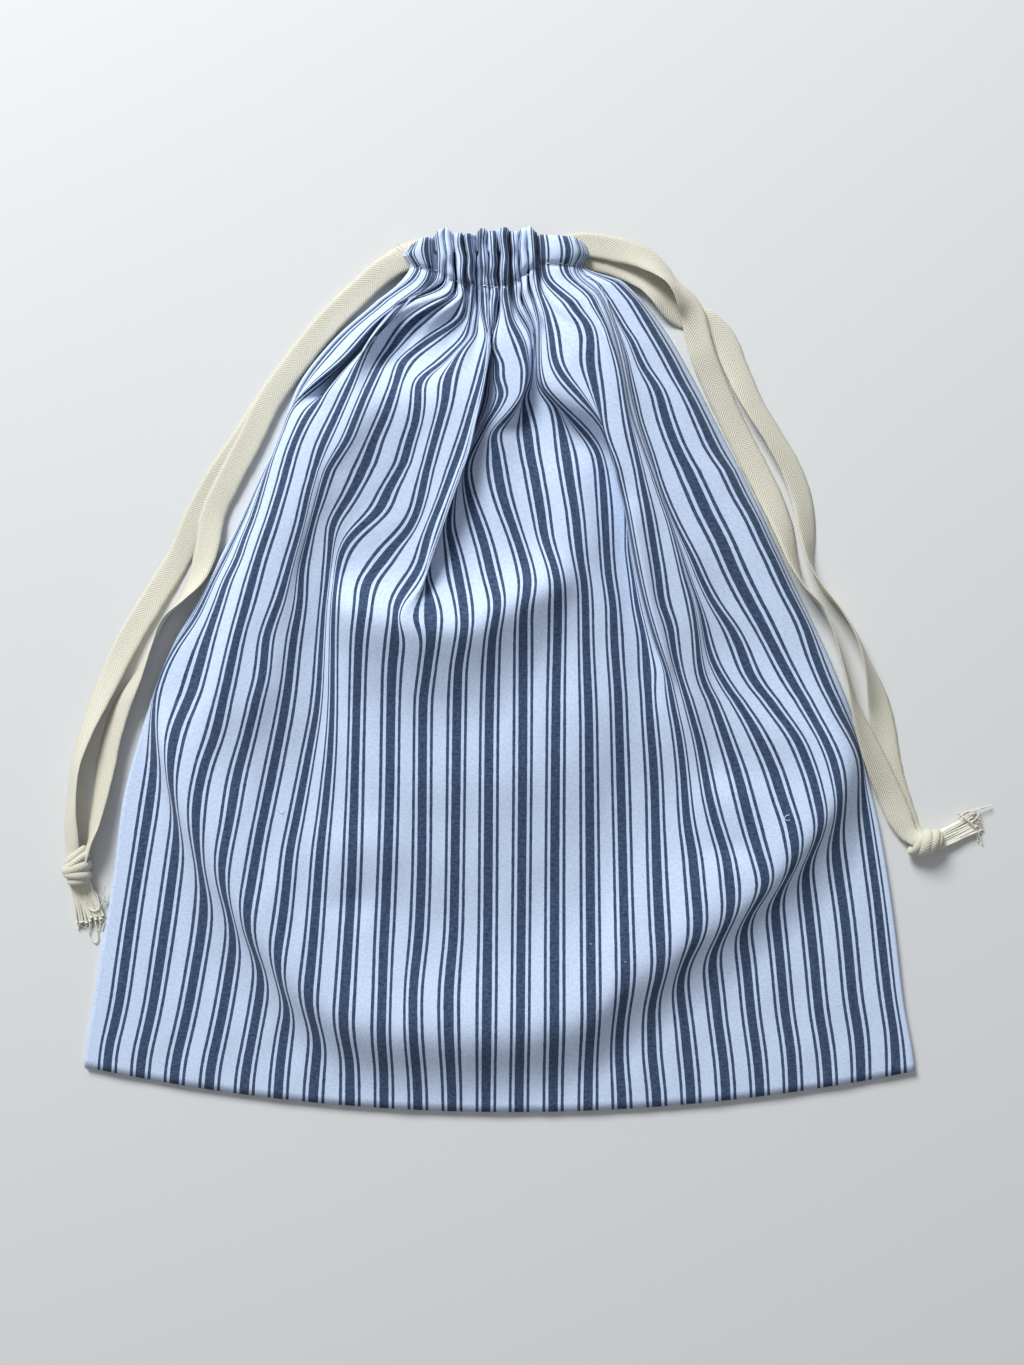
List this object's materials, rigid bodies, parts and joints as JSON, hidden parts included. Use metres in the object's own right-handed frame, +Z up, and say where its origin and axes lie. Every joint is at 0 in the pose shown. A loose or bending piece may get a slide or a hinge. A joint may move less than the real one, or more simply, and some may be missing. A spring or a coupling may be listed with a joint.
{
  "type": "drawstring cloth bag",
  "caption": "Flat-sewn striped cloth bag lying on its back, mouth gathered shut by two flat drawstring tapes that leave the casing at both ends and are knotted together.",
  "frame": {"origin": "centre of the bag's outline on the surface it lies on, tapes left out", "axes": "+Y towards the gathered mouth, +X to the right seen from above, +Z up out of the front panel"},
  "size_m": [0.3686, 0.3516, 0.0257],
  "materials": {
    "ticking": "matte plain weave, slate-blue warp stripes on pale ground",
    "cotton_tape": "matte herringbone weave, natural cream"
  },
  "bodies": {
    "root": {"front_panel": "ticking", "back_panel": "ticking", "tape_left_outer": "cotton_tape", "tape_left_inner": "cotton_tape", "tape_right_front": "cotton_tape", "tape_right_back": "cotton_tape", "knot_left": "cotton_tape", "knot_right": "cotton_tape", "tail_left": "cotton_tape", "tail_right": "cotton_tape"}
  },
  "joints": []
}
